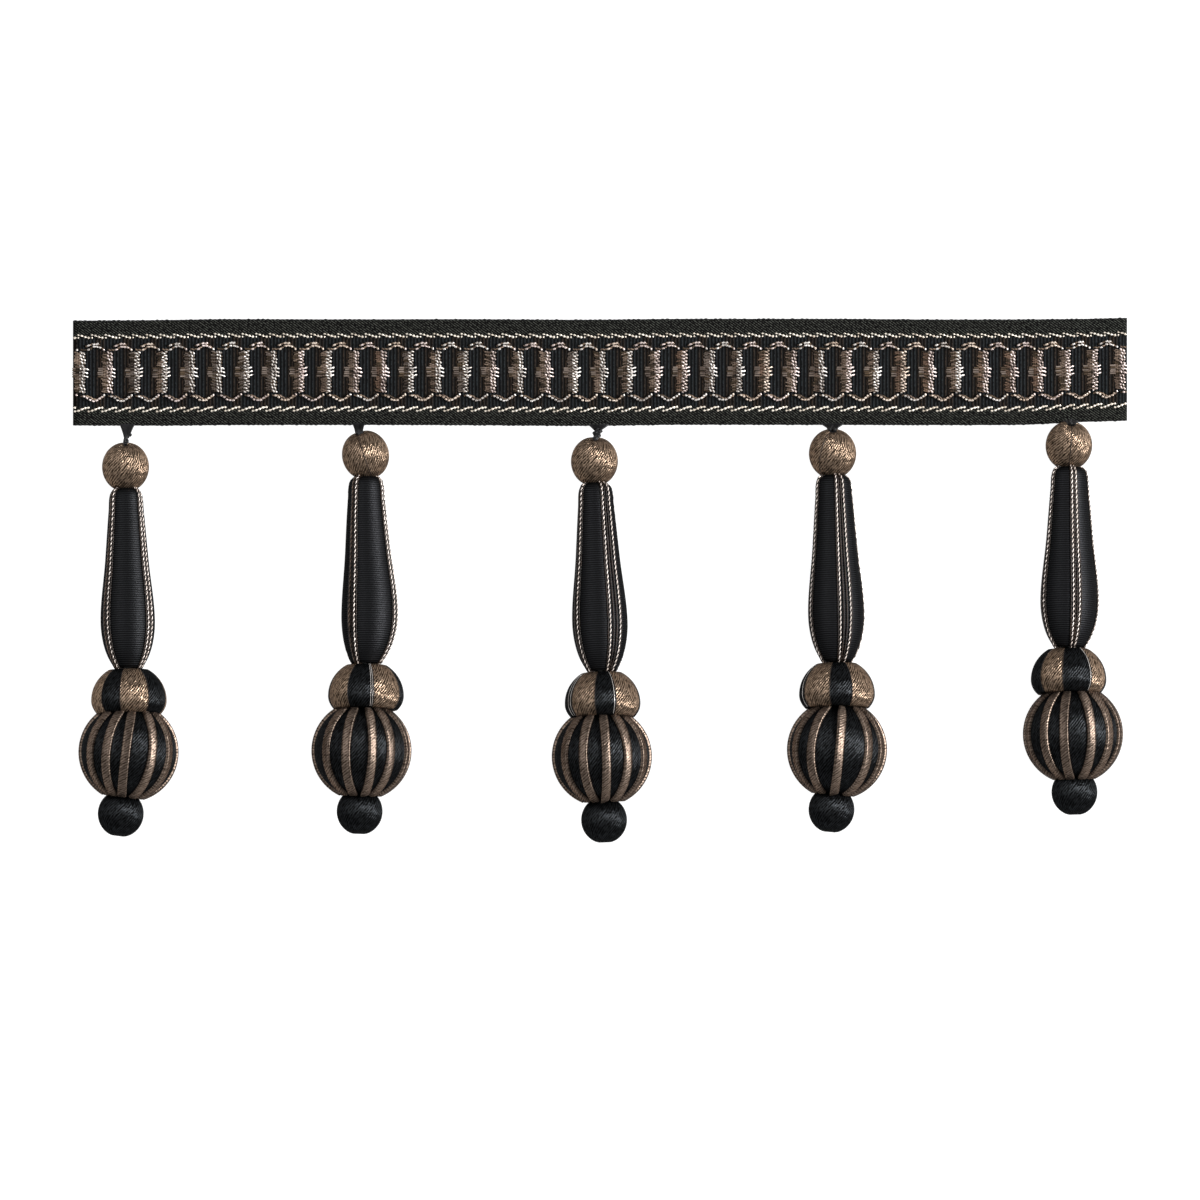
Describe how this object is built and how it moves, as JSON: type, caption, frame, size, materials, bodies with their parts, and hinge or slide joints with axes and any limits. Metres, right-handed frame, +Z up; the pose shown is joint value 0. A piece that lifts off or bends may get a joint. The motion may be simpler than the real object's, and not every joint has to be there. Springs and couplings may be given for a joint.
{
  "type": "beaded fringe",
  "caption": "Beaded fringe trimming: a woven braid heading with a gimp chain, hung with covered drops of bead, baluster, bun and ball on threads.",
  "frame": {"origin": "on the surface that the fringe lies on, under the middle of its outline", "axes": "+X along the heading, +Y from the drops towards the heading's upper edge, +Z up out of the fringe's face"},
  "size_m": [0.2846, 0.1414, 0.0268],
  "materials": {
    "braid": "woven black braid with ribs",
    "gimp": "taupe gimp with a bright metallic strand",
    "edge_cord": "twisted cream and black cord",
    "hanging_thread": "twisted black and taupe thread",
    "taupe_satin": "wound satin thread, taupe",
    "banded_satin": "wound satin thread in bands of taupe and black",
    "grosgrain": "black grosgrain ribbon",
    "piping_cord": "twisted taupe and black cord",
    "black_satin": "wound satin thread, black"
  },
  "bodies": {
    "root": {"heading": "braid", "upper_cord": "edge_cord", "lower_cord": "edge_cord", "gimp_chain": "gimp", "hanger_1": "hanging_thread", "top_bead_1": "taupe_satin", "baluster_1": "grosgrain", "piping_1": "piping_cord", "bun_1": "banded_satin", "ball_1": "black_satin", "ball_strips_1": "taupe_satin", "end_bead_1": "black_satin", "hanger_2": "hanging_thread", "top_bead_2": "taupe_satin", "baluster_2": "grosgrain", "piping_2": "piping_cord", "bun_2": "banded_satin", "ball_2": "black_satin", "ball_strips_2": "taupe_satin", "end_bead_2": "black_satin", "hanger_3": "hanging_thread", "top_bead_3": "taupe_satin", "baluster_3": "grosgrain", "piping_3": "piping_cord", "bun_3": "banded_satin", "ball_3": "black_satin", "ball_strips_3": "taupe_satin", "end_bead_3": "black_satin", "hanger_4": "hanging_thread", "top_bead_4": "taupe_satin", "baluster_4": "grosgrain", "piping_4": "piping_cord", "bun_4": "banded_satin", "ball_4": "black_satin", "ball_strips_4": "taupe_satin", "end_bead_4": "black_satin", "hanger_5": "hanging_thread", "top_bead_5": "taupe_satin", "baluster_5": "grosgrain", "piping_5": "piping_cord", "bun_5": "banded_satin", "ball_5": "black_satin", "ball_strips_5": "taupe_satin", "end_bead_5": "black_satin"}
  },
  "joints": []
}
